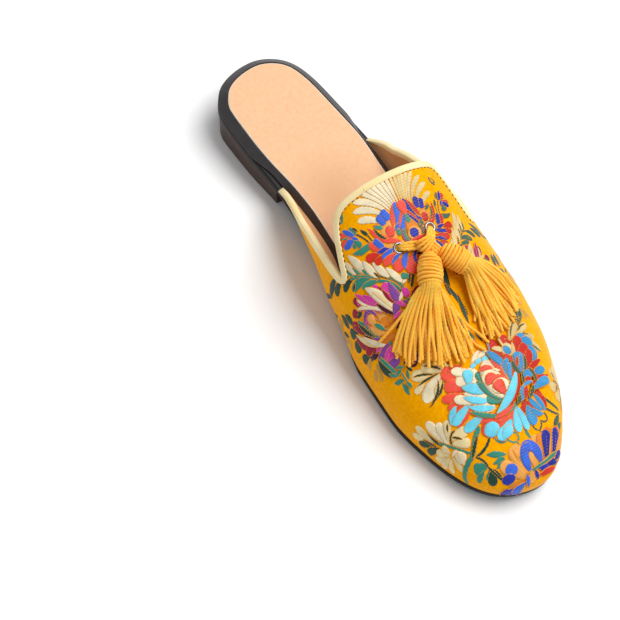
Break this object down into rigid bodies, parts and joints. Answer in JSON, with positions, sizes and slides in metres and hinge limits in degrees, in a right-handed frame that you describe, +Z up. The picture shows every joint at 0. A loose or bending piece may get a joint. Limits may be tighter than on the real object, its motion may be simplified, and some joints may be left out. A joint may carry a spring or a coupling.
{
  "type": "flat mule",
  "caption": "Backless flat mule for the left foot: hollow brocade vamp with a notched tongue, bound topline, lace with cotton tassels, leather sock, thin outsole and a low block heel.",
  "frame": {"origin": "on the floor under the middle of the shoe's box, without its cord ends", "axes": "+Z up from the floor, +Y from toe to heel along the length, +X towards the lateral (little-toe) side of the left foot"},
  "size_m": [0.0888, 0.258, 0.0689],
  "materials": {
    "outsole_leather": "black sole edge, satin, fine side grain",
    "heel_block": "black painted heel block, satin gloss",
    "footbed_rim": "black painted rim, satin",
    "sock_leather": "natural tan lining leather, matt, fine grain",
    "brocade": "golden satin-weave silk brocade with many-coloured floral figures",
    "ribbon": "cream ribbed grosgrain ribbon, matt",
    "eyelet_metal": "silver plated, bright",
    "cotton_cord": "golden yellow twisted cotton, soft matt"
  },
  "bodies": {
    "root": {"outsole": "outsole_leather", "heel": "heel_block", "footbed": "footbed_rim", "sock": "sock_leather", "upper": "brocade", "binding": "ribbon", "eyelet_medial": "eyelet_metal", "eyelet_lateral": "eyelet_metal", "lace_bar_medial": "cotton_cord", "lace_bar_lateral": "cotton_cord", "lace_knot": "cotton_cord", "tassel_a": "cotton_cord", "tassel_b": "cotton_cord"}
  },
  "joints": []
}
